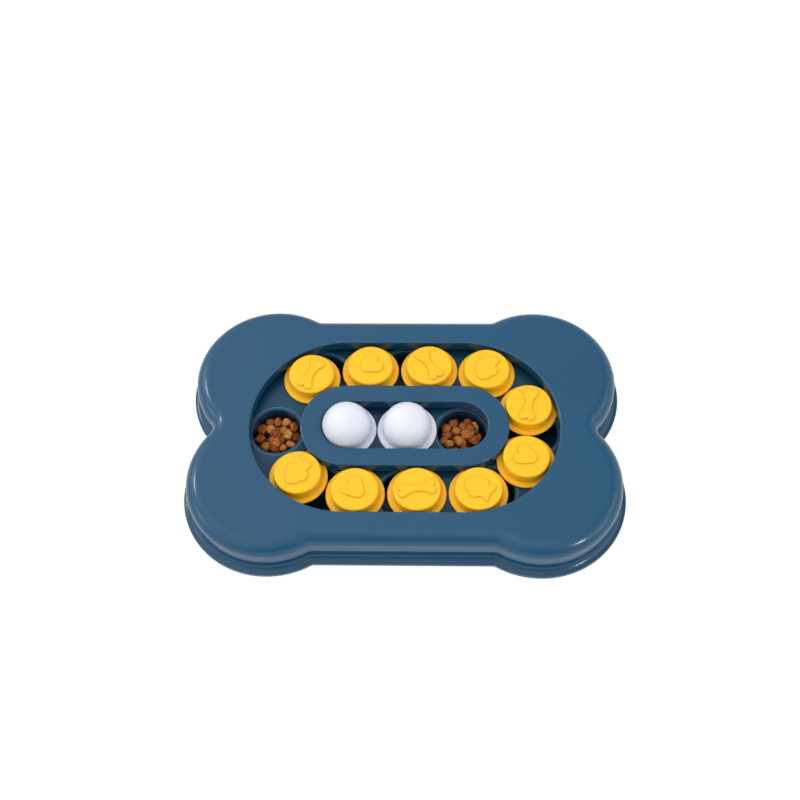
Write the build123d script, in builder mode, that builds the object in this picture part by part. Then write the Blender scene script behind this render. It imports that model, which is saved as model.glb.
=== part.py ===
from build123d import *
import math
import os

os.makedirs("parts", exist_ok=True)

# A bone-shaped slider feeder: a tray with a deck and eleven food cups, a cover with
# a racetrack opening, an island with a slot, ten flanged discs and two flanged domes.
# Frame: +X the long way, +Z up, origin on the floor under the middle of the body.

# ---- driving dimensions (mm) -------------------------------------------------
# plan outline of the cover wall: four lobes, straight long sides, blended notches
lobe_x = 95.0
lobe_y = 41.35
lobe_r = 57.7
side_y = 90.26
side_blend = 8.0
notch_blend = 8.0

# heights
foot_low = 0.0
lip_low = 1.0
lip_top = 3.2
tray_shoulder = 13.3
cover_low = 14.3
deck_low = 19.3
deck_top = 21.3
flange_low = 21.6
flange_top = 23.2
ledge_low = 23.7
ledge_top = 25.9
knob_top = 31.2
island_top = 31.9
cover_top = 33.0

# cover and tray walls
cover_wall = 2.5
shoulder_r = 10.0
lip_out = 4.76
tray_in = 1.0
flare_r = 5.4
neck_in = 3.1
tray_wall = 2.2

# racetrack that the discs follow
track_half = 41.5
track_r = 50.6
open_half = 41.8
open_r = 68.5
skirt = 2.5
foot_in = 72.1
foot_out = 74.8

# island
isle_half = 41.96
isle_r = 32.6
isle_foot_out = 29.1
slot_half = 40.5
slot_r = 18.86
isle_foot_in_half = 41.7
isle_foot_in = 22.3
isle_wall = 2.3
isle_boss_r = 3.2

# food wells
well_r = 17.5
well_floor = 3.8
cup_low = 2.0
cup_wall = 1.8
cup_seat_r = 19.5
rib_low = 9.0
rib_width = 1.6
well_count = 8
inner_well_pitch = 41.0

# discs and domes
flange_r = 20.7
knob_r = 16.75
knob_draft = 1.79
knob_wall = 1.6
icon_h = 1.25
icon_round = 0.85
dome_flange_r = 21.2
dome_r = 17.5
dome_rise = 4.6
dome_wall = 1.8

# fasteners and feet
screw_r = 1.45
pilot_r = 1.5
clear_r = 1.75
head_r = 2.9
head_h = 2.0
boss_r = 3.3
foot_r = 8.0
cover_screw_at = [(115, 66), (-115, 66), (115, -66), (-115, -66),
                  (0, 81.5), (0, -81.5), (124.5, 0), (-124.5, 0)]
island_screw_at = [(21, 25.8), (-21, 25.8), (21, -25.8), (-21, -25.8)]
foot_at = [(114, 46), (-114, 46), (-114, -46), (114, -46)]

# rest centres of the discs, clockwise from the back left, and of the domes
disc_at = [(-68.497, 42.796), (-25.628, 50.158), (17.524, 50.6), (59.539, 47.8),
           (89.018, 17.391), (85.876, -24.313), (52.019, -49.495),
           (9.17, -50.163), (-33.802, -50.6), (-74.166, -37.828)]
dome_at = [(-41.45, 0.73), (1.75, 0.73)]


# ---- outline helpers ----------------------------------------------------------
def bone_arcs(off):
    """Points of the bone outline moved outwards by off: start, middle, end of each arc."""
    r = lobe_r + off
    rs = side_blend - off
    rn = notch_blend - off
    ys = side_y + side_blend
    xs = lobe_x - math.sqrt((lobe_r + side_blend) ** 2 - (ys - lobe_y) ** 2)
    xn = lobe_x + math.sqrt((lobe_r + notch_blend) ** 2 - lobe_y ** 2)
    a1 = math.atan2(ys - lobe_y, xs - lobe_x)
    a2 = math.atan2(-lobe_y, xn - lobe_x)

    def on_lobe(a):
        return (lobe_x + r * math.cos(a), lobe_y + r * math.sin(a))

    b1 = a1 - math.pi
    b0 = -math.pi / 2
    bm = (b0 + b1) / 2
    blend = [(xs, side_y + off),
             (xs + rs * math.cos(bm), ys + rs * math.sin(bm)),
             on_lobe(a1)]
    lobe = [on_lobe(a1), on_lobe((a1 + a2) / 2), on_lobe(a2)]
    notch = [on_lobe(a2), (xn - rn, 0.0), (on_lobe(a2)[0], -on_lobe(a2)[1])]
    return blend, lobe, notch


def bone_outline(off):
    """Draw the closed bone outline in the current line context."""
    blend, lobe, notch = bone_arcs(off)

    def flip(points, sx, sy):
        return [(sx * x, sy * y) for x, y in points]

    w = side_y + off
    xs = blend[0][0]
    Line((-xs, w), (xs, w))
    ThreePointArc(*blend)
    ThreePointArc(*lobe)
    ThreePointArc(*notch)
    ThreePointArc(*flip(lobe, 1, -1))
    ThreePointArc(*flip(blend, 1, -1))
    Line((xs, -w), (-xs, -w))
    ThreePointArc(*flip(blend, -1, -1))
    ThreePointArc(*flip(lobe, -1, -1))
    ThreePointArc(*flip(notch, -1, 1))
    ThreePointArc(*flip(lobe, -1, 1))
    ThreePointArc(*flip(blend, -1, 1))


def outline_edges(edges, z, off):
    """The edges that lie on the outline moved by off, at height z."""
    marks = [(0.0, side_y + off)] + [arc[1] for arc in bone_arcs(off)]
    found = ShapeList()
    for e in edges:
        m = e @ 0.5
        if abs(m.Z - z) < 0.01 and any(
                math.hypot(abs(m.X) - x, abs(m.Y) - y) < 0.05 for x, y in marks):
            found.append(e)
    return found


def circle_edges(edges, z, r):
    """The circular edges of radius r at height z."""
    return ShapeList([e for e in edges.filter_by(GeomType.CIRCLE)
                      if abs(e.radius - r) < 0.02 and abs((e @ 0.5).Z - z) < 0.01])


def stadium_edges(edges, z, half, r):
    """The edges at height z that lie on a stadium of the given half length and radius."""
    found = ShapeList()
    for e in edges:
        m = e @ 0.5
        dx = max(0.0, abs(m.X) - half)
        if abs(m.Z - z) < 0.01 and abs(math.hypot(dx, m.Y) - r) < 0.05:
            found.append(e)
    return found


def track_point(s):
    """A point on the disc track, s measured clockwise from its left end."""
    q = math.pi * track_r / 2
    s = s % (4 * q + 4 * track_half)
    if s < q:
        a = s / track_r
        return (-track_half - track_r * math.cos(a), track_r * math.sin(a))
    s -= q
    if s < 2 * track_half:
        return (-track_half + s, track_r)
    s -= 2 * track_half
    if s < 2 * q:
        a = s / track_r
        return (track_half + track_r * math.sin(a), track_r * math.cos(a))
    s -= 2 * q
    if s < 2 * track_half:
        return (track_half - s, -track_r)
    s -= 2 * track_half
    a = s / track_r
    return (-track_half - track_r * math.sin(a), -track_r * math.cos(a))


track_length = 2 * math.pi * track_r + 4 * track_half
outer_well_at = [track_point(k * track_length / well_count) for k in range(well_count)]
inner_well_at = [(-inner_well_pitch, 0), (0, 0), (inner_well_pitch, 0)]
well_at = outer_well_at + inner_well_at


# ---- icon outlines, drawn along local +X in the current line context ----------
bone_end_x = 10.2
bone_end_y = 2.7
bone_end_r = 2.95
bone_waist = 2.45


def bone_icon():
    side_c = ((bone_end_x ** 2 + bone_end_y ** 2 - (bone_end_r - bone_waist) ** 2)
              / (2 * (bone_end_y + bone_end_r - bone_waist)))
    dx, dy = -bone_end_x, side_c - bone_end_y
    d = math.hypot(dx, dy)
    px, py = bone_end_x + bone_end_r * dx / d, bone_end_y + bone_end_r * dy / d
    notch = bone_end_x + math.sqrt(bone_end_r ** 2 - bone_end_y ** 2)
    a0 = math.atan2(dy, dx)
    a1 = math.atan2(-bone_end_y, notch - bone_end_x)
    mx = bone_end_x + bone_end_r * math.cos((a0 + a1) / 2)
    my = bone_end_y + bone_end_r * math.sin((a0 + a1) / 2)
    ThreePointArc((-px, py), (0, bone_waist), (px, py))
    ThreePointArc((px, py), (mx, my), (notch, 0))
    ThreePointArc((notch, 0), (mx, -my), (px, -py))
    ThreePointArc((px, -py), (0, -bone_waist), (-px, -py))
    ThreePointArc((-px, -py), (-mx, -my), (-notch, 0))
    ThreePointArc((-notch, 0), (-mx, my), (-px, py))


heart_lobe = (3.3, 3.7)
heart_lobe_r = 4.6
heart_tip_x = -3.0
heart_tip_r = 4.7


def heart_icon():
    dx = heart_tip_x - heart_lobe[0]
    dy = -heart_lobe[1]
    d = math.hypot(dx, dy)
    k = (heart_lobe_r - heart_tip_r) / d
    h = math.sqrt(1 - k * k)
    nx = (k * dx + h * dy) / d
    ny = (k * dy - h * dx) / d
    p1 = (heart_lobe[0] + heart_lobe_r * nx, heart_lobe[1] + heart_lobe_r * ny)
    p2 = (heart_tip_x + heart_tip_r * nx, heart_tip_r * ny)
    notch = heart_lobe[0] + math.sqrt(heart_lobe_r ** 2 - heart_lobe[1] ** 2)
    a0 = math.atan2(ny, nx)
    a1 = math.atan2(-heart_lobe[1], notch - heart_lobe[0])
    am = (a0 + a1) / 2
    top = (heart_lobe[0] + heart_lobe_r * math.cos(am),
           heart_lobe[1] + heart_lobe_r * math.sin(am))
    ThreePointArc((notch, 0), top, p1)
    Line(p1, p2)
    ThreePointArc(p2, (heart_tip_x - heart_tip_r, 0), (p2[0], -p2[1]))
    Line((p2[0], -p2[1]), (p1[0], -p1[1]))
    ThreePointArc((p1[0], -p1[1]), (top[0], -top[1]), (notch, 0))


fish_round = 0.9


def fish_icon():
    """Nose towards local -X, a back and a belly fin, and a forked tail."""
    ThreePointArc((-4.6, -6.0), (-9.2, -3.0), (-10.9, 0.9))
    ThreePointArc((-10.9, 0.9), (-7.6, 4.9), (-2.6, 7.3))
    Polyline((-2.6, 7.3), (2.6, 8.6), (4.6, 5.4), (10.6, 8.1), (9.3, 1.2), (10.6, -6.3),
             (4.0, -4.9), (1.2, -8.3), (-3.4, -8.3), (-4.6, -6.0))


# ---- base tray: lip, flared wall and shoulder ----------------------------------
with BuildPart() as base_tray:
    with BuildSketch(Plane.XY.offset(lip_low)):
        with BuildLine():
            bone_outline(lip_out)
        make_face()
    extrude(amount=lip_top - lip_low)
    with BuildSketch(Plane.XY.offset(lip_low)):
        with BuildLine():
            bone_outline(-tray_in)
        make_face()
    extrude(amount=tray_shoulder - lip_low)
    fillet(outline_edges(base_tray.edges(), lip_top, -tray_in), radius=flare_r)
    fillet(outline_edges(base_tray.edges(), lip_top, lip_out), radius=0.3)
    with BuildSketch(Plane.XY.offset(lip_low)):
        with BuildLine():
            bone_outline(-neck_in)
        make_face()
    extrude(amount=deck_top - lip_low)
    # open inside
    with BuildSketch(Plane.XY.offset(lip_low)):
        with BuildLine():
            bone_outline(-tray_in - tray_wall)
        make_face()
    extrude(amount=11.0 - lip_low, mode=Mode.SUBTRACT)
    with BuildSketch(Plane.XY.offset(lip_low)):
        with BuildLine():
            bone_outline(-neck_in - tray_wall)
        make_face()
    extrude(amount=deck_top - lip_low, mode=Mode.SUBTRACT)
    fillet(outline_edges(base_tray.edges(), lip_low, -tray_in - tray_wall), radius=6.9)
base_tray.part.label = "base_tray"
export_step(base_tray.part, "parts/base_tray.step")

# ---- deck with the cup seats and the screw wells --------------------------------
with BuildPart() as tray_deck:
    with BuildSketch(Plane.XY.offset(deck_low)):
        with BuildLine():
            bone_outline(-neck_in - tray_wall)
        make_face()
        with Locations(*well_at):
            Circle(cup_seat_r, mode=Mode.SUBTRACT)
    extrude(amount=deck_top - deck_low)
    with BuildSketch(Plane.XY.offset(12.0)):
        with Locations(*cover_screw_at, *island_screw_at):
            Circle(head_r + 1.7)
            Circle(head_r + 0.4, mode=Mode.SUBTRACT)
    extrude(amount=deck_low - 12.0)
    with BuildSketch(Plane.XY.offset(deck_low - 0.5)):
        with Locations(*cover_screw_at, *island_screw_at):
            Circle(clear_r)
    extrude(amount=deck_top - deck_low + 1.0, mode=Mode.SUBTRACT)
    with BuildSketch(Plane.XY.offset(lip_low)):
        with BuildLine():
            bone_outline(-neck_in - tray_wall)
        make_face()
    extrude(amount=deck_top - lip_low, mode=Mode.INTERSECT)
tray_deck.part.label = "tray_deck"
export_step(tray_deck.part, "parts/tray_deck.step")

# ---- ribs and foot posts under the deck ------------------------------------------
with BuildPart() as deck_ribs:
    with BuildSketch(Plane.XY.offset(rib_low)):
        for x, y in island_screw_at:
            inner = abs(x) + head_r + 1.7
            sx = 1 if x > 0 else -1
            with Locations((sx * (inner + 148.0) / 2, y)):
                Rectangle(148.0 - inner, rib_width)
        for x in (-90.0, -30.0, 30.0, 90.0):
            for y in (-1, 1):
                with Locations((x, y * (25.8 + 97.0) / 2)):
                    Rectangle(rib_width, 97.0 - 25.8)
        for x, y in foot_at:
            sx = 1 if x > 0 else -1
            with Locations((sx * (abs(x) + 152.0) / 2, y)):
                Rectangle(152.0 - abs(x), rib_width)
    extrude(amount=deck_low - rib_low)
    with BuildSketch(Plane.XY.offset(1.8)):
        with Locations(*foot_at):
            Circle(foot_r + 1.7)
    extrude(amount=deck_low - 1.8)
    with BuildSketch(Plane.XY.offset(1.8)):
        with Locations(*foot_at):
            Circle(foot_r + 0.15)
    extrude(amount=deck_low - 1.8, mode=Mode.SUBTRACT)
    with BuildSketch(Plane.XY.offset(3.0)):
        with Locations(*foot_at):
            Rectangle(2 * foot_r + 1.0, rib_width)
            Rectangle(rib_width, 2 * foot_r + 1.0)
    extrude(amount=deck_low - 3.0)
    with BuildSketch(Plane.XY.offset(rib_low)):
        with Locations(*island_screw_at, *cover_screw_at):
            Circle(head_r + 1.7)
    extrude(amount=deck_low - rib_low, mode=Mode.SUBTRACT)
    with BuildSketch(Plane.XY):
        with BuildLine():
            bone_outline(-neck_in - tray_wall)
        make_face()
    extrude(amount=deck_low, mode=Mode.INTERSECT)
deck_ribs.part.label = "deck_ribs"
export_step(deck_ribs.part, "parts/deck_ribs.step")

# ---- food cups --------------------------------------------------------------------
with BuildPart() as cup_blank:
    with BuildSketch(Plane.XY.offset(cup_low)):
        Circle(cup_seat_r - (deck_low - cup_low) * math.tan(math.radians(1)))
    extrude(amount=deck_low - cup_low, taper=-1.0)
    with BuildSketch(Plane.XY.offset(deck_low)):
        Circle(cup_seat_r)
    extrude(amount=deck_top - deck_low)
    with BuildSketch(Plane.XY.offset(well_floor)):
        Circle(well_r - 0.3)
    extrude(amount=deck_top - well_floor, taper=-1.0, mode=Mode.SUBTRACT)
    fillet(circle_edges(cup_blank.edges(), well_floor, well_r - 0.3), radius=3.0)
    fillet(cup_blank.edges().group_by(Axis.Z)[0], radius=2.5)
    fillet(circle_edges(cup_blank.edges(), deck_top,
                        well_r - 0.3 + (deck_top - well_floor) * math.tan(math.radians(1))),
           radius=1.0)

with BuildPart() as food_cup_01:
    with Locations(well_at[0]):
        add(cup_blank.part)
food_cup_01.part.label = "food_cup_01"
export_step(food_cup_01.part, "parts/food_cup_01.step")

with BuildPart() as food_cup_02:
    with Locations(well_at[1]):
        add(cup_blank.part)
food_cup_02.part.label = "food_cup_02"
export_step(food_cup_02.part, "parts/food_cup_02.step")

with BuildPart() as food_cup_03:
    with Locations(well_at[2]):
        add(cup_blank.part)
food_cup_03.part.label = "food_cup_03"
export_step(food_cup_03.part, "parts/food_cup_03.step")

with BuildPart() as food_cup_04:
    with Locations(well_at[3]):
        add(cup_blank.part)
food_cup_04.part.label = "food_cup_04"
export_step(food_cup_04.part, "parts/food_cup_04.step")

with BuildPart() as food_cup_05:
    with Locations(well_at[4]):
        add(cup_blank.part)
food_cup_05.part.label = "food_cup_05"
export_step(food_cup_05.part, "parts/food_cup_05.step")

with BuildPart() as food_cup_06:
    with Locations(well_at[5]):
        add(cup_blank.part)
food_cup_06.part.label = "food_cup_06"
export_step(food_cup_06.part, "parts/food_cup_06.step")

with BuildPart() as food_cup_07:
    with Locations(well_at[6]):
        add(cup_blank.part)
food_cup_07.part.label = "food_cup_07"
export_step(food_cup_07.part, "parts/food_cup_07.step")

with BuildPart() as food_cup_08:
    with Locations(well_at[7]):
        add(cup_blank.part)
food_cup_08.part.label = "food_cup_08"
export_step(food_cup_08.part, "parts/food_cup_08.step")

with BuildPart() as food_cup_09:
    with Locations(well_at[8]):
        add(cup_blank.part)
food_cup_09.part.label = "food_cup_09"
export_step(food_cup_09.part, "parts/food_cup_09.step")

with BuildPart() as food_cup_10:
    with Locations(well_at[9]):
        add(cup_blank.part)
food_cup_10.part.label = "food_cup_10"
export_step(food_cup_10.part, "parts/food_cup_10.step")

with BuildPart() as food_cup_11:
    with Locations(well_at[10]):
        add(cup_blank.part)
food_cup_11.part.label = "food_cup_11"
export_step(food_cup_11.part, "parts/food_cup_11.step")

# ---- top cover ----------------------------------------------------------------
with BuildPart() as cover_room:
    with BuildSketch(Plane.XY.offset(cover_low - 1)):
        with BuildLine():
            bone_outline(-cover_wall)
        make_face()
    extrude(amount=cover_top - cover_wall - cover_low + 1)
    fillet(cover_room.edges().group_by(Axis.Z)[-1], radius=shoulder_r - cover_wall)

with BuildPart() as top_cover:
    with BuildSketch(Plane.XY.offset(cover_low)):
        with BuildLine():
            bone_outline(0)
        make_face()
    extrude(amount=cover_top - cover_low)
    fillet(top_cover.edges().group_by(Axis.Z)[-1], radius=shoulder_r)
    fillet(outline_edges(top_cover.edges(), cover_low, 0), radius=0.5)
    add(cover_room.part, mode=Mode.SUBTRACT)
    # skirt round the opening, ledge over the flanges and the foot on the deck
    with BuildSketch(Plane.XY.offset(ledge_low)):
        SlotCenterToCenter(2 * open_half, 2 * (open_r + skirt))
    extrude(amount=cover_top - 1 - ledge_low)
    with BuildSketch(Plane.XY.offset(deck_top)):
        SlotCenterToCenter(2 * track_half, 2 * foot_out)
    extrude(amount=ledge_top - deck_top)
    with BuildSketch(Plane.XY.offset(deck_top)):
        with Locations(*cover_screw_at):
            Circle(boss_r)
    extrude(amount=cover_top - 1 - deck_top)
    with BuildSketch(Plane.XY.offset(deck_top)):
        SlotCenterToCenter(2 * open_half, 2 * open_r)
    extrude(amount=cover_top - deck_top + 1, mode=Mode.SUBTRACT)
    with BuildSketch(Plane.XY.offset(deck_top)):
        SlotCenterToCenter(2 * track_half, 2 * foot_in)
    extrude(amount=ledge_low - deck_top, mode=Mode.SUBTRACT)
    with BuildSketch(Plane.XY.offset(deck_top)):
        with Locations(*cover_screw_at):
            Circle(pilot_r)
    extrude(amount=8.2, mode=Mode.SUBTRACT)
    fillet(stadium_edges(top_cover.edges(), cover_top, open_half, open_r), radius=1.1)
    fillet(stadium_edges(top_cover.edges(), ledge_low, open_half, open_r), radius=0.4)
top_cover.part.label = "top_cover"
export_step(top_cover.part, "parts/top_cover.step")

# ---- island -------------------------------------------------------------------
with BuildPart() as center_island:
    with BuildSketch(Plane.XY.offset(ledge_low)):
        SlotCenterToCenter(2 * isle_half, 2 * isle_r)
        SlotCenterToCenter(2 * slot_half, 2 * slot_r, mode=Mode.SUBTRACT)
    extrude(amount=island_top - ledge_low)
    fillet(stadium_edges(center_island.edges(), island_top, isle_half, isle_r), radius=1.3)
    fillet(stadium_edges(center_island.edges(), island_top, slot_half, slot_r), radius=1.1)
    with BuildSketch(Plane.XY.offset(deck_top)):
        SlotCenterToCenter(2 * track_half, 2 * isle_foot_out)
        SlotCenterToCenter(2 * isle_foot_in_half, 2 * isle_foot_in, mode=Mode.SUBTRACT)
    extrude(amount=ledge_low - deck_top + 0.5)
    # hollow underside, leaving the screw bosses
    with BuildSketch(Plane.XY.offset(deck_top)):
        SlotCenterToCenter(2 * track_half, 2 * (isle_foot_out - isle_wall))
        SlotCenterToCenter(2 * isle_foot_in_half, 2 * (isle_foot_in + isle_wall),
                           mode=Mode.SUBTRACT)
        with Locations(*island_screw_at):
            Circle(isle_boss_r, mode=Mode.SUBTRACT)
    extrude(amount=island_top - isle_wall - deck_top, mode=Mode.SUBTRACT)
    with BuildSketch(Plane.XY.offset(ledge_top)):
        SlotCenterToCenter(2 * isle_half, 2 * (isle_r - isle_wall))
        SlotCenterToCenter(2 * slot_half, 2 * (slot_r + isle_wall), mode=Mode.SUBTRACT)
        with Locations(*island_screw_at):
            Circle(isle_boss_r, mode=Mode.SUBTRACT)
    extrude(amount=island_top - isle_wall - ledge_top, mode=Mode.SUBTRACT)
    with BuildSketch(Plane.XY.offset(deck_top)):
        with Locations(*island_screw_at):
            Circle(pilot_r)
    extrude(amount=7.2, mode=Mode.SUBTRACT)
center_island.part.label = "center_island"
export_step(center_island.part, "parts/center_island.step")

# ---- discs --------------------------------------------------------------------
with BuildPart() as disc_blank:
    with BuildSketch(Plane.XY.offset(flange_low)):
        Circle(flange_r)
    extrude(amount=flange_top - flange_low)
    with BuildSketch(Plane.XY.offset(flange_top)):
        Circle(knob_r)
    extrude(amount=knob_top - flange_top, taper=knob_draft)
    fillet(disc_blank.edges().group_by(Axis.Z)[-1], radius=1.5)
    fillet(circle_edges(disc_blank.edges(), flange_top, flange_r), radius=0.7)
    fillet(circle_edges(disc_blank.edges(), flange_top, knob_r), radius=0.6)
    with BuildSketch(Plane.XY.offset(flange_low)):
        Circle(knob_r - knob_wall)
    extrude(amount=knob_top - knob_wall - flange_low, taper=1.2, mode=Mode.SUBTRACT)
    fillet(disc_blank.edges().group_by(Axis.Z)[0].sort_by(SortBy.RADIUS)[-1], radius=0.3)


def icon_plane(at, degrees):
    """The top of a knob, with local +X turned to the icon's direction."""
    a = math.radians(degrees)
    return Plane(origin=(at[0], at[1], knob_top - 0.3),
                 x_dir=(math.cos(a), math.sin(a), 0), z_dir=(0, 0, 1))


with BuildPart() as disc_01:
    with Locations(disc_at[0]):
        add(disc_blank.part)
    with BuildSketch(icon_plane(disc_at[0], 64)):
        with BuildLine():
            bone_icon()
        make_face()
    extrude(amount=icon_h + 0.3)
    fillet(disc_01.edges().group_by(Axis.Z)[-1], radius=icon_round)
disc_01.part.label = "disc_01"
export_step(disc_01.part, "parts/disc_01.step")

with BuildPart() as disc_02:
    with Locations(disc_at[1]):
        add(disc_blank.part)
    with BuildSketch(icon_plane(disc_at[1], 30)):
        with BuildLine():
            heart_icon()
        make_face()
    extrude(amount=icon_h + 0.3)
    fillet(disc_02.edges().group_by(Axis.Z)[-1], radius=icon_round)
disc_02.part.label = "disc_02"
export_step(disc_02.part, "parts/disc_02.step")

with BuildPart() as disc_03:
    with Locations(disc_at[2]):
        add(disc_blank.part)
    with BuildSketch(icon_plane(disc_at[2], 121)):
        with BuildLine():
            bone_icon()
        make_face()
    extrude(amount=icon_h + 0.3)
    fillet(disc_03.edges().group_by(Axis.Z)[-1], radius=icon_round)
disc_03.part.label = "disc_03"
export_step(disc_03.part, "parts/disc_03.step")

with BuildPart() as disc_04:
    with Locations(disc_at[3]):
        add(disc_blank.part)
    with BuildSketch(icon_plane(disc_at[3], 65)) as mark:
        with BuildLine():
            fish_icon()
        make_face()
        fillet(mark.vertices(), radius=fish_round)
    extrude(amount=icon_h + 0.3)
    fillet(disc_04.edges().group_by(Axis.Z)[-1], radius=icon_round)
disc_04.part.label = "disc_04"
export_step(disc_04.part, "parts/disc_04.step")

with BuildPart() as disc_05:
    with Locations(disc_at[4]):
        add(disc_blank.part)
    with BuildSketch(icon_plane(disc_at[4], 80)):
        with BuildLine():
            bone_icon()
        make_face()
    extrude(amount=icon_h + 0.3)
    fillet(disc_05.edges().group_by(Axis.Z)[-1], radius=icon_round)
disc_05.part.label = "disc_05"
export_step(disc_05.part, "parts/disc_05.step")

with BuildPart() as disc_06:
    with Locations(disc_at[5]):
        add(disc_blank.part)
    with BuildSketch(icon_plane(disc_at[5], 154)):
        with BuildLine():
            heart_icon()
        make_face()
    extrude(amount=icon_h + 0.3)
    fillet(disc_06.edges().group_by(Axis.Z)[-1], radius=icon_round)
disc_06.part.label = "disc_06"
export_step(disc_06.part, "parts/disc_06.step")

with BuildPart() as disc_07:
    with Locations(disc_at[6]):
        add(disc_blank.part)
    with BuildSketch(icon_plane(disc_at[6], -32)) as mark:
        with BuildLine():
            fish_icon()
        make_face()
        fillet(mark.vertices(), radius=fish_round)
    extrude(amount=icon_h + 0.3)
    fillet(disc_07.edges().group_by(Axis.Z)[-1], radius=icon_round)
disc_07.part.label = "disc_07"
export_step(disc_07.part, "parts/disc_07.step")

with BuildPart() as disc_08:
    with Locations(disc_at[7]):
        add(disc_blank.part)
    with BuildSketch(icon_plane(disc_at[7], 9)):
        with BuildLine():
            bone_icon()
        make_face()
    extrude(amount=icon_h + 0.3)
    fillet(disc_08.edges().group_by(Axis.Z)[-1], radius=icon_round)
disc_08.part.label = "disc_08"
export_step(disc_08.part, "parts/disc_08.step")

with BuildPart() as disc_09:
    with Locations(disc_at[8]):
        add(disc_blank.part)
    with BuildSketch(icon_plane(disc_at[8], 135)):
        with BuildLine():
            heart_icon()
        make_face()
    extrude(amount=icon_h + 0.3)
    fillet(disc_09.edges().group_by(Axis.Z)[-1], radius=icon_round)
disc_09.part.label = "disc_09"
export_step(disc_09.part, "parts/disc_09.step")

with BuildPart() as disc_10:
    with Locations(disc_at[9]):
        add(disc_blank.part)
    with BuildSketch(icon_plane(disc_at[9], 60)) as mark:
        with BuildLine():
            fish_icon()
        make_face()
        fillet(mark.vertices(), radius=fish_round)
    extrude(amount=icon_h + 0.3)
    fillet(disc_10.edges().group_by(Axis.Z)[-1], radius=icon_round)
disc_10.part.label = "disc_10"
export_step(disc_10.part, "parts/disc_10.step")

# ---- domes --------------------------------------------------------------------
with BuildPart() as dome_01:
    with BuildSketch(Plane(origin=(*dome_at[0], flange_low), z_dir=(0, 0, 1))):
        Circle(dome_flange_r)
    extrude(amount=flange_top - flange_low)
    with BuildSketch(Plane(origin=(*dome_at[0], flange_top), x_dir=(1, 0, 0), z_dir=(0, -1, 0))):
        with BuildLine():
            Line((0, 0), (dome_r, 0))
            Line((dome_r, 0), (dome_r, dome_rise))
            CenterArc((0, dome_rise), dome_r, 0, 90)
            Line((0, dome_rise + dome_r), (0, 0))
        make_face()
    revolve(axis=Axis((*dome_at[0], 0), (0, 0, 1)))
    fillet(circle_edges(dome_01.edges(), flange_top, dome_flange_r), radius=0.7)
    fillet(circle_edges(dome_01.edges(), flange_low, dome_flange_r), radius=0.5)
    fillet(circle_edges(dome_01.edges(), flange_top, dome_r), radius=1.1)
    with BuildSketch(Plane(origin=(*dome_at[0], flange_top), x_dir=(1, 0, 0), z_dir=(0, -1, 0))):
        with BuildLine():
            Line((0, flange_low - flange_top), (dome_r - dome_wall, flange_low - flange_top))
            Line((dome_r - dome_wall, flange_low - flange_top), (dome_r - dome_wall, dome_rise))
            CenterArc((0, dome_rise), dome_r - dome_wall, 0, 90)
            Line((0, dome_rise + dome_r - dome_wall), (0, flange_low - flange_top))
        make_face()
    revolve(axis=Axis((*dome_at[0], 0), (0, 0, 1)), mode=Mode.SUBTRACT)
dome_01.part.label = "dome_01"
export_step(dome_01.part, "parts/dome_01.step")

with BuildPart() as dome_02:
    with BuildSketch(Plane(origin=(*dome_at[1], flange_low), z_dir=(0, 0, 1))):
        Circle(dome_flange_r)
    extrude(amount=flange_top - flange_low)
    with BuildSketch(Plane(origin=(*dome_at[1], flange_top), x_dir=(1, 0, 0), z_dir=(0, -1, 0))):
        with BuildLine():
            Line((0, 0), (dome_r, 0))
            Line((dome_r, 0), (dome_r, dome_rise))
            CenterArc((0, dome_rise), dome_r, 0, 90)
            Line((0, dome_rise + dome_r), (0, 0))
        make_face()
    revolve(axis=Axis((*dome_at[1], 0), (0, 0, 1)))
    fillet(circle_edges(dome_02.edges(), flange_top, dome_flange_r), radius=0.7)
    fillet(circle_edges(dome_02.edges(), flange_low, dome_flange_r), radius=0.5)
    fillet(circle_edges(dome_02.edges(), flange_top, dome_r), radius=1.1)
    with BuildSketch(Plane(origin=(*dome_at[1], flange_top), x_dir=(1, 0, 0), z_dir=(0, -1, 0))):
        with BuildLine():
            Line((0, flange_low - flange_top), (dome_r - dome_wall, flange_low - flange_top))
            Line((dome_r - dome_wall, flange_low - flange_top), (dome_r - dome_wall, dome_rise))
            CenterArc((0, dome_rise), dome_r - dome_wall, 0, 90)
            Line((0, dome_rise + dome_r - dome_wall), (0, flange_low - flange_top))
        make_face()
    revolve(axis=Axis((*dome_at[1], 0), (0, 0, 1)), mode=Mode.SUBTRACT)
dome_02.part.label = "dome_02"
export_step(dome_02.part, "parts/dome_02.step")

# ---- screws -------------------------------------------------------------------
with BuildPart() as cover_screws:
    with BuildSketch(Plane.XY.offset(deck_low - head_h)):
        with Locations(*cover_screw_at):
            Circle(head_r)
    extrude(amount=head_h)
    with BuildSketch(Plane.XY.offset(deck_low - 0.2)):
        with Locations(*cover_screw_at):
            Circle(screw_r)
    extrude(amount=9.0 + 0.2)
    fillet(circle_edges(cover_screws.edges(), deck_low - head_h, head_r), radius=0.9)
    with BuildSketch(Plane.XY.offset(deck_low - head_h)):
        with Locations(*cover_screw_at):
            Rectangle(3.2, 0.8)
            Rectangle(0.8, 3.2)
    extrude(amount=1.1, mode=Mode.SUBTRACT)
    chamfer(circle_edges(cover_screws.edges(), deck_low + 9.0, screw_r), length=0.6)
cover_screws.part.label = "cover_screws"
export_step(cover_screws.part, "parts/cover_screws.step")

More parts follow.
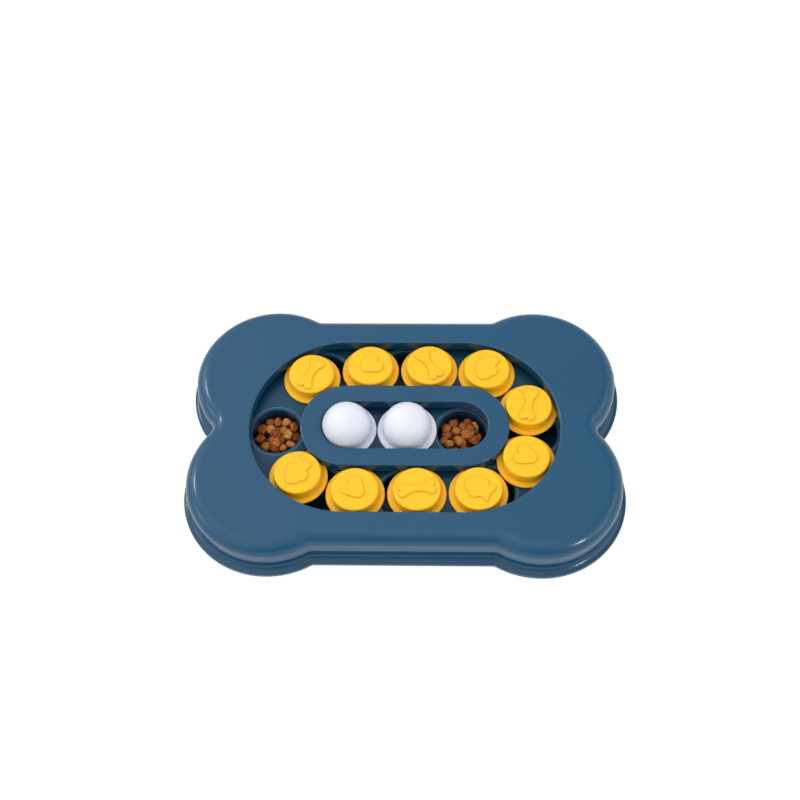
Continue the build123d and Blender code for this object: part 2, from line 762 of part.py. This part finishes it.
with BuildPart() as island_screws:
    with BuildSketch(Plane.XY.offset(deck_low - head_h)):
        with Locations(*island_screw_at):
            Circle(head_r)
    extrude(amount=head_h)
    with BuildSketch(Plane.XY.offset(deck_low - 0.2)):
        with Locations(*island_screw_at):
            Circle(screw_r)
    extrude(amount=8.0 + 0.2)
    fillet(circle_edges(island_screws.edges(), deck_low - head_h, head_r), radius=0.9)
    with BuildSketch(Plane.XY.offset(deck_low - head_h)):
        with Locations(*island_screw_at):
            Rectangle(3.2, 0.8)
            Rectangle(0.8, 3.2)
    extrude(amount=1.1, mode=Mode.SUBTRACT)
    chamfer(circle_edges(island_screws.edges(), deck_low + 8.0, screw_r), length=0.6)
island_screws.part.label = "island_screws"
export_step(island_screws.part, "parts/island_screws.step")

# ---- rubber feet --------------------------------------------------------------
with BuildPart() as rubber_foot_1:
    with BuildSketch(Plane(origin=(*foot_at[0], foot_low), z_dir=(0, 0, 1))):
        Circle(foot_r)
    extrude(amount=3.0 - foot_low)
    fillet(circle_edges(rubber_foot_1.edges(), foot_low, foot_r), radius=0.7)
rubber_foot_1.part.label = "rubber_foot_1"
export_step(rubber_foot_1.part, "parts/rubber_foot_1.step")

with BuildPart() as rubber_foot_2:
    with BuildSketch(Plane(origin=(*foot_at[1], foot_low), z_dir=(0, 0, 1))):
        Circle(foot_r)
    extrude(amount=3.0 - foot_low)
    fillet(circle_edges(rubber_foot_2.edges(), foot_low, foot_r), radius=0.7)
rubber_foot_2.part.label = "rubber_foot_2"
export_step(rubber_foot_2.part, "parts/rubber_foot_2.step")

with BuildPart() as rubber_foot_3:
    with BuildSketch(Plane(origin=(*foot_at[2], foot_low), z_dir=(0, 0, 1))):
        Circle(foot_r)
    extrude(amount=3.0 - foot_low)
    fillet(circle_edges(rubber_foot_3.edges(), foot_low, foot_r), radius=0.7)
rubber_foot_3.part.label = "rubber_foot_3"
export_step(rubber_foot_3.part, "parts/rubber_foot_3.step")

with BuildPart() as rubber_foot_4:
    with BuildSketch(Plane(origin=(*foot_at[3], foot_low), z_dir=(0, 0, 1))):
        Circle(foot_r)
    extrude(amount=3.0 - foot_low)
    fillet(circle_edges(rubber_foot_4.edges(), foot_low, foot_r), radius=0.7)
rubber_foot_4.part.label = "rubber_foot_4"
export_step(rubber_foot_4.part, "parts/rubber_foot_4.step")
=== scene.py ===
import math
import random

import bmesh
import bpy
from mathutils import Matrix, Vector, noise


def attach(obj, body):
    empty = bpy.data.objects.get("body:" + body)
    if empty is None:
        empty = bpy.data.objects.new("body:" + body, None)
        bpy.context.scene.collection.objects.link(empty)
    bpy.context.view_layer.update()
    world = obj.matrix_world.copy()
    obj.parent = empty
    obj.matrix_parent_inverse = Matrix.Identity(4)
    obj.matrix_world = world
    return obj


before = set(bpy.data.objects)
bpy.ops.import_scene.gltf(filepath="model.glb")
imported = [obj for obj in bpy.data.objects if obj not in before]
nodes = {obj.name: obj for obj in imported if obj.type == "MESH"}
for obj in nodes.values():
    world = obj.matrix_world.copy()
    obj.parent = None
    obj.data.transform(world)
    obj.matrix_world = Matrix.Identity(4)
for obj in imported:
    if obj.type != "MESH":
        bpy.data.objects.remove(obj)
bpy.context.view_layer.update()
BODY = "feeder_body"
sc = bpy.context.scene


# ---------------------------------------------------------------- node helpers
def new_mat(name):
    m = bpy.data.materials.new(name)
    m.use_nodes = True
    nt = m.node_tree
    nt.nodes.clear()
    out = nt.nodes.new("ShaderNodeOutputMaterial")
    b = nt.nodes.new("ShaderNodeBsdfPrincipled")
    nt.links.new(b.outputs[0], out.inputs[0])
    return m, nt, b


def objco(nt, scale=(1, 1, 1)):
    tc = nt.nodes.new("ShaderNodeTexCoord")
    mp = nt.nodes.new("ShaderNodeMapping")
    mp.inputs["Scale"].default_value = scale
    nt.links.new(tc.outputs["Object"], mp.inputs["Vector"])
    return mp.outputs[0]


def tex_noise(nt, vec, scale, detail=2.0, rough=0.5, dist=0.0):
    n = nt.nodes.new("ShaderNodeTexNoise")
    n.inputs["Scale"].default_value = scale
    n.inputs["Detail"].default_value = detail
    n.inputs["Roughness"].default_value = rough
    n.inputs["Distortion"].default_value = dist
    nt.links.new(vec, n.inputs["Vector"])
    return n.outputs["Fac"]


def remap(nt, val, a, b, c, d):
    r = nt.nodes.new("ShaderNodeMapRange")
    r.inputs["From Min"].default_value = a
    r.inputs["From Max"].default_value = b
    r.inputs["To Min"].default_value = c
    r.inputs["To Max"].default_value = d
    nt.links.new(val, r.inputs["Value"])
    return r.outputs[0]


def mix_col(nt, fac, a, b, mode="MIX"):
    m = nt.nodes.new("ShaderNodeMix")
    m.data_type = "RGBA"
    m.blend_type = mode
    for sock, v in ((m.inputs[0], fac), (m.inputs[6], a), (m.inputs[7], b)):
        if hasattr(v, "links"):
            nt.links.new(v, sock)
        elif isinstance(v, (int, float)):
            sock.default_value = v
        else:
            sock.default_value = (*v, 1.0)
    return m.outputs[2]


def math_node(nt, op, a, b=None):
    n = nt.nodes.new("ShaderNodeMath")
    n.operation = op
    for i, v in enumerate((a, b)):
        if v is None:
            continue
        if hasattr(v, "links"):
            nt.links.new(v, n.inputs[i])
        else:
            n.inputs[i].default_value = v
    return n.outputs[0]


def bump(nt, b, height, strength, dist, normal=None):
    n = nt.nodes.new("ShaderNodeBump")
    n.inputs["Strength"].default_value = strength
    n.inputs["Distance"].default_value = dist
    nt.links.new(height, n.inputs["Height"])
    if normal is not None:
        nt.links.new(normal, n.inputs["Normal"])
    nt.links.new(n.outputs[0], b.inputs["Normal"])
    return n.outputs[0]


def hollow(nt, reach, inside=False, local=True):
    """How open the surface is within reach: low in creases, or, inside, low along outer edges."""
    n = nt.nodes.new("ShaderNodeAmbientOcclusion")
    n.inside = inside
    n.only_local = local
    n.samples = 8
    n.inputs["Distance"].default_value = reach
    return n.outputs["AO"]


# ---------------------------------------------------------------- materials
def plastic(name, base, deep, light, rough=(0.26, 0.34), grain=0.02, wave=0.10, spec=0.5, crease_shade=None, painted_light=None):
    """Injection-moulded plastic: slight tone drift, a faint flow waviness, a fine moulded grain; optionally painted
    shade in creases and gaps and a painted highlight along rims.
    """
    m, nt, b = new_mat(name)
    co = objco(nt)
    drift = tex_noise(nt, co, 9.0, 3.0, 0.5, 0.4)
    fine = tex_noise(nt, co, 420.0, 2.0, 0.5)
    col = mix_col(nt, remap(nt, drift, 0.35, 0.65, 0.0, 1.0), deep, light)
    col = mix_col(nt, remap(nt, fine, 0.3, 0.7, 0.35, 0.65), col, base)
    if crease_shade:      # painted shade: colour darkened in creases and gaps where shade falls: reach, depth, local or not
        reach, deepest, local = crease_shade
        shade = remap(nt, hollow(nt, reach, local=local), 0.25, 1.0, deepest, 1.0)
        tone = nt.nodes.new("ShaderNodeCombineColor")
        for i in range(3):
            nt.links.new(shade, tone.inputs[i])
        col = mix_col(nt, 1.0, col, tone.outputs[0], "MULTIPLY")
    if painted_light:      # painted highlight along convex rims, standing in for the glints of light on the fillets: reach, colour, amount
        reach, pale, most = painted_light
        rim_glint = remap(nt, hollow(nt, reach, inside=True), 0.92, 0.62, 0.0, most)
        col = mix_col(nt, rim_glint, col, pale)
    nt.links.new(col, b.inputs["Base Color"])
    smear = tex_noise(nt, co, 38.0, 4.0, 0.6, 0.8)
    nt.links.new(remap(nt, smear, 0.3, 0.7, rough[0], rough[1]), b.inputs["Roughness"])
    b.inputs["IOR"].default_value = 1.5
    b.inputs["Specular IOR Level"].default_value = spec
    waves = tex_noise(nt, co, 26.0, 2.0, 0.5)
    n1 = bump(nt, b, waves, wave, 0.0005)
    bump(nt, b, tex_noise(nt, co, 1600.0, 2.0, 0.55), grain, 0.0002, n1)
    return m, nt, b


# the blues get painted shade in creases and gaps and a painted highlight along their rims; the yellow gets painted
# shade around the feet of its icons
blue, _, _ = plastic("blue_abs", (0.0058, 0.0705, 0.1490), (0.0055, 0.0682, 0.1450), (0.0061, 0.0728, 0.1530),
                     rough=(0.17, 0.23), grain=0.03, wave=0.012, spec=0.38,
                     crease_shade=(0.022, 0.55, False), painted_light=(0.0010, (0.085, 0.230, 0.370), 0.70))
# painted shade: a slightly darker, duller copy of blue_abs for the deck, wells and ribs of the tray, standing in for
# the shade down inside the channel
deck_blue_shaded, _, _ = plastic("blue_abs_deck_shaded", (0.0048, 0.0665, 0.1380), (0.0046, 0.0643, 0.1335), (0.0050, 0.0690, 0.1425),
                          rough=(0.20, 0.27), grain=0.04, wave=0.012, spec=0.27,
                          crease_shade=(0.022, 0.30, False), painted_light=(0.0007, (0.085, 0.220, 0.325), 0.65))
yellow, _, yb = plastic("yellow_abs", (0.975, 0.525, 0.0110), (0.968, 0.518, 0.0105), (0.982, 0.532, 0.0115),
                       rough=(0.28, 0.36), grain=0.06, wave=0.015, spec=0.35,
                        crease_shade=(0.0016, 0.62, True))
white, _, wb = plastic("white_abs", (0.775, 0.803, 0.925), (0.771, 0.799, 0.921), (0.779, 0.807, 0.929),
                       rough=(0.30, 0.36), grain=0.01, wave=0.01)
wb.inputs["Coat Weight"].default_value = 0.12
wb.inputs["Coat Roughness"].default_value = 0.06
# both light plastics let some light through their thin walls
for shader, weight, reach, spread in ((yb, 0.20, (1.0, 0.50, 0.10), 0.0015), (wb, 0.40, (1.0, 1.0, 1.0), 0.0040)):
    shader.inputs["Subsurface Weight"].default_value = weight
    shader.inputs["Subsurface Radius"].default_value = reach
    shader.inputs["Subsurface Scale"].default_value = spread

steel, nt, b = new_mat("zinc_steel")
co = objco(nt)
b.inputs["Metallic"].default_value = 1.0
nt.links.new(mix_col(nt, tex_noise(nt, co, 700.0, 3.0), (0.50, 0.50, 0.51), (0.66, 0.66, 0.68)), b.inputs["Base Color"])
nt.links.new(remap(nt, tex_noise(nt, co, 1500.0, 4.0), 0.3, 0.7, 0.25, 0.45), b.inputs["Roughness"])
bump(nt, b, tex_noise(nt, co, 2500.0, 2.0), 0.15, 0.0002)

rubber, nt, b = new_mat("foot_rubber")
co = objco(nt)
nt.links.new(mix_col(nt, tex_noise(nt, co, 350.0, 4.0), (0.012, 0.012, 0.013), (0.028, 0.028, 0.030)), b.inputs["Base Color"])
nt.links.new(remap(nt, tex_noise(nt, co, 900.0, 3.0), 0.3, 0.7, 0.55, 0.75), b.inputs["Roughness"])
bump(nt, b, tex_noise(nt, co, 1800.0, 3.0), 0.4, 0.0003)

kibble_mat, nt, b = new_mat("kibble_crust")
at = nt.nodes.new("ShaderNodeAttribute")
at.attribute_name = "tint"
co = objco(nt)
blotch = tex_noise(nt, co, 420.0, 4.0, 0.65, 0.6)
col = mix_col(nt, remap(nt, blotch, 0.35, 0.65, 0.0, 1.0), (0.60, 0.46, 0.38), (1.22, 1.24, 1.20))
col = mix_col(nt, 1.0, at.outputs["Color"], col, "MULTIPLY")
specks = tex_noise(nt, co, 1900.0, 2.0, 0.5)
col = mix_col(nt, remap(nt, specks, 0.62, 0.74, 0.0, 0.35), col, (0.46, 0.20, 0.06))
nt.links.new(col, b.inputs["Base Color"])
nt.links.new(remap(nt, blotch, 0.3, 0.7, 0.22, 0.42), b.inputs["Roughness"])
b.inputs["Specular IOR Level"].default_value = 0.32
n1 = bump(nt, b, tex_noise(nt, co, 620.0, 4.0, 0.6), 0.55, 0.0007)
bump(nt, b, tex_noise(nt, co, 2600.0, 3.0, 0.6), 0.35, 0.0002, n1)


def finish_of(name):
    if name.startswith("disc_"):
        return yellow
    if name.startswith("dome_"):
        return white
    if name.endswith("screws"):
        return steel
    if name.startswith("rubber"):
        return rubber
    if name.startswith("food_cup") or name in ("tray_deck", "deck_ribs"):
        return deck_blue_shaded
    return blue


for name, o in nodes.items():
    o.data.materials.clear()
    o.data.materials.append(finish_of(name))


# ---------------------------------------------------------------- kibble
def pellet(bm, tint_layer, centre, size, turn, seed, tint, lump=0.0):
    """One baked pellet: a puffed rounded slug with a sunken face; lump swells it into a clump."""
    rnd = random.Random(seed)
    made = bmesh.ops.create_icosphere(bm, subdivisions=4, radius=1.0)
    off = Vector((rnd.uniform(-50, 50), rnd.uniform(-50, 50), rnd.uniform(-50, 50)))
    rot = turn.to_4x4()
    for v in made["verts"]:
        p = v.co.normalized()
        r = math.hypot(p.x, p.y)
        z = math.copysign(abs(p.z) ** 0.72, p.z)
        k = (min(1.0, r) ** 0.72) / max(r, 1e-6) if r > 1e-4 else 1.0
        q = Vector((p.x * k, p.y * k, z))
        q.z -= math.copysign(0.16 * math.exp(-(r / 0.42) ** 2), p.z) * (1.0 - lump)
        wob = 1.0 + (0.16 + 0.22 * lump) * noise.noise(p * (1.3 + 0.6 * lump) + off) \
            + (0.045 + 0.05 * lump) * noise.noise(p * 3.2 + off) + 0.012 * noise.noise(p * 11.0 + off)
        q *= wob
        q = Vector((q.x * size[0], q.y * size[1], q.z * size[2]))
        v.co = centre + (rot @ q)
        # painted shade: the tint is lighter on faces turned up and darker on the sides, standing in for light from
        # above
        face = (turn @ p).z
        painted_light = 0.25 + 0.70 * max(0.0, face) ** 0.7
        v[tint_layer] = (tint[0] * painted_light, tint[1] * painted_light, tint[2] * painted_light, 1.0)


# the under_shade tint is painted shade for the hidden under-layer pellets seen down in the gaps
TINTS = {
    "red": (0.430, 0.095, 0.013), "brown": (0.360, 0.090, 0.013), "orange": (0.600, 0.185, 0.024),
    "tan": (0.680, 0.270, 0.050), "pale": (0.780, 0.400, 0.110), "under_shade": (0.060, 0.013, 0.004),
}


def well_radius(z):
    """Inside radius of a food well at height z, in mm."""
    r = 17.2 + (z - 3.8) * math.tan(math.radians(1.0))
    if z < 6.8:
        r -= 3.0 - math.sqrt(max(0.0, 9.0 - (6.8 - z) ** 2))
    return r


def fill_well(name, cx, cy, top, seed, level=10.6):
    """A heap of pellets in one well. top lists the visible ones: x, y, z of the centre from the well's
    axis in mm, half sizes, turn in degrees about z, lean x, lean y, tint, lump."""
    rnd = random.Random(seed)
    me = bpy.data.meshes.new(name)
    bm = bmesh.new()
    tl = bm.verts.layers.float_color.new("tint")
    k = 0
    for z, rings in ((6.2, ((0.0, 1), (7.0, 6), (12.6, 11))), (9.0 - (10.6 - level), ((3.4, 3), (9.0, 8), (13.2, 12)))):
        for rr, n in rings:
            for i in range(n):
                a = 2 * math.pi * (i + rnd.uniform(-0.12, 0.12)) / n + 0.7 * rr
                h = rnd.uniform(2.1, 2.6)
                w = rnd.uniform(3.0, 3.5)
                lim = well_radius(z) - w - 0.35
                r = min(rr + rnd.uniform(-0.3, 0.3), lim)
                turn = Matrix.Rotation(rnd.uniform(0, 6.28), 3, "Z") @ Matrix.Rotation(rnd.uniform(-0.5, 0.5), 3, "X")
                tint = TINTS[rnd.choice(["red", "brown", "brown", "orange", "tan"])]
                # painted shade: the under-layer seen between the top pellets gets dark tints, dimmed further to 0.22,
                # standing in for the shade down between pellets
                if z > 7 and top:
                    zz = z - 1.6
                    tint = TINTS[rnd.choice(["under_shade", "red", "brown"])]
                else:
                    zz = z
                if z > 7 and top:
                    tint = tuple(0.22 * v for v in tint)
                pellet(bm, tl, Vector(((cx + r * math.cos(a)) / 1000, (cy + r * math.sin(a)) / 1000, zz / 1000)),
                       (w / 1000, w * rnd.uniform(0.9, 1.0) / 1000, h / 1000), turn, seed * 1000 + k, tint)
                k += 1
    for x, y, z, sx, sy, sz, tz, lx, ly, tint, lump in top:
        turn = (Matrix.Rotation(math.radians(ly), 3, "Y") @ Matrix.Rotation(math.radians(lx), 3, "X")
                @ Matrix.Rotation(math.radians(tz), 3, "Z"))
        reach = max(sx, sy)
        r = math.hypot(x, y)
        lim = well_radius(z) - reach * 0.92 - 0.25
        if r > lim:
            x, y = x * lim / r, y * lim / r
        pellet(bm, tl, Vector(((cx + x) / 1000, (cy + y) / 1000, (z + 0.5) / 1000)),
               (1.10 * sx / 1000, 1.10 * sy / 1000, 1.08 * sz / 1000), turn, seed * 1000 + 500 + k, TINTS[tint], lump)
        k += 1
    for f in bm.faces:
        f.smooth = True
    bm.to_mesh(me)
    bm.free()
    o = bpy.data.objects.new(name, me)
    sc.collection.objects.link(o)
    o.data.materials.append(kibble_mat)
    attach(o, BODY)
    return o


LEFT_TOP = [
    (-6.6, 12.6, 10.0, 3.3, 3.0, 2.4, 10, 20, 0, "red", 0),
    (-0.9, 13.3, 10.3, 2.6, 3.5, 2.6, 0, 35, 0, "orange", 0),
    (5.2, 12.6, 10.6, 3.5, 3.0, 2.4, 25, 15, 0, "tan", 0),
    (11.0, 8.6, 10.6, 3.0, 3.6, 2.4, 15, 10, 40, "orange", 0),
    (-12.2, 7.0, 10.0, 3.7, 3.6, 2.5, 0, 0, -18, "red", 0),
    (-5.6, 6.4, 10.7, 3.5, 3.6, 2.5, 30, 5, 20, "tan", 0),
    (-1.2, 6.6, 9.4, 2.4, 2.4, 2.0, 0, 0, 0, "brown", 0),
    (3.6, 6.4, 9.9, 3.2, 3.0, 2.4, 0, 10, -20, "orange", 0),
    (7.6, 2.0, 11.4, 3.4, 3.9, 2.6, 10, 0, -38, "pale", 0),
    (12.9, 0.8, 9.4, 2.9, 3.3, 2.3, 0, 0, 30, "brown", 0),
    (-12.8, -1.2, 9.9, 3.7, 3.2, 2.4, 5, -5, -10, "brown", 0),
    (-8.4, -7.0, 10.1, 3.0, 3.2, 2.4, 0, -10, -25, "tan", 0),
    (-2.0, 1.8, 10.4, 3.6, 4.0, 3.0, 0, 0, 0, "brown", 0.8),
    (-1.4, -4.6, 10.7, 4.2, 4.6, 3.0, 20, 0, 0, "orange", 0.9),
    (-5.0, -3.2, 9.6, 2.6, 3.6, 2.4, 0, 0, 0, "red", 0.7),
    (-1.2, -9.6, 9.8, 3.8, 3.0, 2.4, 0, -20, 0, "red", 0.5),
    (3.2, -0.8, 9.9, 2.2, 4.2, 2.2, -10, 0, 25, "brown", 0.2),
    (9.6, -5.4, 9.9, 3.5, 2.7, 2.3, -28, 0, 0, "orange", 0),
    (4.2, -8.4, 9.9, 2.6, 2.8, 2.2, 0, -10, 0, "tan", 0),
]
RIGHT_TOP = [
    (-11.4, 8.6, 10.0, 3.2, 3.8, 2.5, -20, 10, -20, "orange", 0),
    (-5.9, 12.4, 10.5, 3.4, 4.0, 2.5, -50, 20, 0, "brown", 0.1),
    (-3.6, 5.8, 10.6, 3.2, 3.2, 2.6, 30, 0, 25, "tan", 0),
    (4.8, 13.2, 10.4, 3.0, 3.0, 2.5, 0, 20, 0, "brown", 0.4),
    (1.6, 9.4, 10.2, 2.6, 3.8, 2.4, 0, 0, -15, "orange", 0.5),
    (6.0, 7.6, 10.8, 4.2, 4.4, 3.0, 0, 0, 0, "brown", 0.9),
    (4.6, 2.2, 10.9, 4.8, 4.2, 3.1, 10, 0, 0, "orange", 0.9),
    (8.8, -1.4, 10.2, 4.0, 3.4, 2.8, -20, 0, 0, "red", 0.8),
    (10.8, 9.8, 10.8, 2.3, 4.4, 2.4, 14, 10, 25, "pale", 0),
    (-10.4, 2.6, 9.9, 3.6, 3.2, 2.4, 0, 0, 0, "brown", 0),
    (-12.6, -1.8, 9.6, 2.8, 2.8, 2.2, 0, 0, -20, "orange", 0),
    (-8.8, -4.6, 10.2, 3.4, 3.0, 2.5, 20, -10, 20, "tan", 0),
    (-1.0, -2.4, 10.4, 5.2, 3.3, 2.7, -38, 0, 0, "orange", 0.35),
    (12.4, 1.6, 9.4, 2.4, 2.8, 2.2, 0, 0, 0, "red", 0),
    (2.2, -9.0, 9.4, 3.2, 3.0, 2.4, 0, 0, 0, "brown", 0),
    (-4.6, -10.2, 9.3, 3.1, 3.0, 2.3, 0, 0, 0, "brown", 0),
]
fill_well("kibble_outer_left", -92.1, 0.0, LEFT_TOP, 3)
fill_well("kibble_inner_right", 41.0, 0.0, RIGHT_TOP, 8)

# ---------------------------------------------------------------- floor
bpy.ops.mesh.primitive_grid_add(x_subdivisions=60, y_subdivisions=60, size=60.0, location=(0, 0, -0.0002))
floor = bpy.context.object
floor.name = "studio_floor"
fm, nt, b = new_mat("studio_white")
co = objco(nt)
nt.links.new(mix_col(nt, tex_noise(nt, co, 3.0, 2.0), (0.10, 0.10, 0.10), (0.12, 0.12, 0.12)), b.inputs["Base Color"])
b.inputs["Roughness"].default_value = 0.9
b.inputs["Specular IOR Level"].default_value = 0.0
b.inputs["Emission Color"].default_value = (1, 1, 1, 1)
b.inputs["Emission Strength"].default_value = 0.92
floor.data.materials.append(fm)

# ---------------------------------------------------------------- light
world = bpy.data.worlds.new("studio")
sc.world = world
world.use_nodes = True
wn = world.node_tree
wn.nodes.clear()
wout = wn.nodes.new("ShaderNodeOutputWorld")
bg = wn.nodes.new("ShaderNodeBackground")
wn.links.new(bg.outputs[0], wout.inputs[0])
# soft panels all round: elevation and compass angle in degrees (0 at the back, clockwise), level
SKY = [
    (90, 0, 0.60), (62, 0, 0.46), (62, 120, 0.46), (62, 180, 0.54), (62, 240, 0.68), (62, 300, 0.90),
    (36, 0, 0.36), (36, 36, 0.14), (36, 72, 0.42), (36, 108, 0.50), (36, 144, 0.45), (36, 180, 0.22), (36, 216, 0.62),
    (36, 252, 0.50), (36, 288, 0.44), (36, 324, 0.68), (10, 15, 0.38), (10, 45, 0.65), (10, 75, 0.55),
    (10, 105, 0.55), (10, 135, 0.60), (10, 195, 0.22), (10, 225, 0.70), (10, 255, 0.48), (10, 285, 0.46),
    (10, 315, 0.42), (10, 345, 0.35),
]
# the two side boxes and the narrow strips beside them: elevation, angle, level
BOXES = [(22, 265, 2.6), (26, 300, 2.0), (22, 108, 2.2), (32, 80, 1.4)]
SOFT, TIGHT = 12.0, 60.0
tc = wn.nodes.new("ShaderNodeTexCoord")
unit = wn.nodes.new("ShaderNodeVectorMath")
unit.operation = "NORMALIZE"
wn.links.new(tc.outputs["Generated"], unit.inputs[0])
total = None
for elev, turn, level, width in [(*r, SOFT) for r in SKY] + [(*r, TIGHT) for r in BOXES]:
    e, a = math.radians(elev), math.radians(turn)
    dot = wn.nodes.new("ShaderNodeVectorMath")
    dot.operation = "DOT_PRODUCT"
    wn.links.new(unit.outputs[0], dot.inputs[0])
    dot.inputs[1].default_value = (math.cos(e) * math.sin(a), math.cos(e) * math.cos(a), math.sin(e))
    lobe = math_node(wn, "EXPONENT", math_node(wn, "MULTIPLY", math_node(wn, "SUBTRACT", dot.outputs["Value"], 1.0), width))
    lobe = math_node(wn, "MULTIPLY", lobe, level)
    total = lobe if total is None else math_node(wn, "ADD", total, lobe)
wn.links.new(total, bg.inputs["Strength"])
bg.inputs["Color"].default_value = (1.0, 1.0, 1.0, 1.0)


def strip(name, elev, turn, wide, tall, level, aim, beam, far=1.5):
    """A gridded gloss strip: a narrow beam seen in reflections only, so it draws one rim and no more."""
    e, a = math.radians(elev), math.radians(turn)
    ld = bpy.data.lights.new(name, "AREA")
    ld.shape = "RECTANGLE"
    ld.size = 2 * far * math.tan(math.radians(wide / 2))
    ld.size_y = 2 * far * math.tan(math.radians(tall / 2))
    half = math.radians(beam / 2)
    ld.spread = 2 * half
    ld.energy = 4 * ld.size * ld.size_y * level * (math.tan(half) - half) / math.tan(half)
    o = bpy.data.objects.new(name, ld)
    sc.collection.objects.link(o)
    d = Vector((math.cos(e) * math.sin(a), math.cos(e) * math.cos(a), math.sin(e)))
    o.location = Vector(aim) + far * d
    o.rotation_euler = (-d).to_track_quat("-Z", "Y").to_euler()
    o.visible_diffuse = False
    return o


strip("lobe_strip", 31, 133, 15, 6, 150, (0.133, -0.088, 0.031), 7)
strip("island_strip", 44, 303, 14, 12, 70, (-0.074, -0.012, 0.031), 7)

# ---------------------------------------------------------------- camera
F_PX, PX, PY, W = 1223.44, 401.77, 397.92, 800.0
ELEV, YAW, ROLL, DIST = math.radians(59.517), math.radians(-2.469), math.radians(-1.89), 0.89031
fwd = Vector((math.sin(YAW) * math.cos(ELEV), math.cos(YAW) * math.cos(ELEV), -math.sin(ELEV)))
right = Vector((math.cos(YAW), -math.sin(YAW), 0.0))
upv = right.cross(fwd)
c, s = math.cos(ROLL), math.sin(ROLL)
rx = c * right + s * upv
ry = -s * right + c * upv
look = Vector((-0.003066 + 0.00063, 0.026935, 0.0232))
cam_data = bpy.data.cameras.new("photo_camera")
cam = bpy.data.objects.new("photo_camera", cam_data)
sc.collection.objects.link(cam)
m = Matrix((rx, ry, -fwd)).transposed().to_4x4()
m.translation = look - fwd * DIST
cam.matrix_world = m
cam_data.sensor_width = 36.0
cam_data.lens = F_PX / W * 36.0
cam_data.shift_x = -(PX - 400.0) / W
cam_data.shift_y = (PY - 400.0) / W
cam_data.clip_start = 0.05
cam_data.clip_end = 20.0
sc.camera = cam

sc.view_settings.view_transform = "Standard"
sc.view_settings.look = "None"
sc.view_settings.exposure = 0.0
sc.view_settings.gamma = 1.0
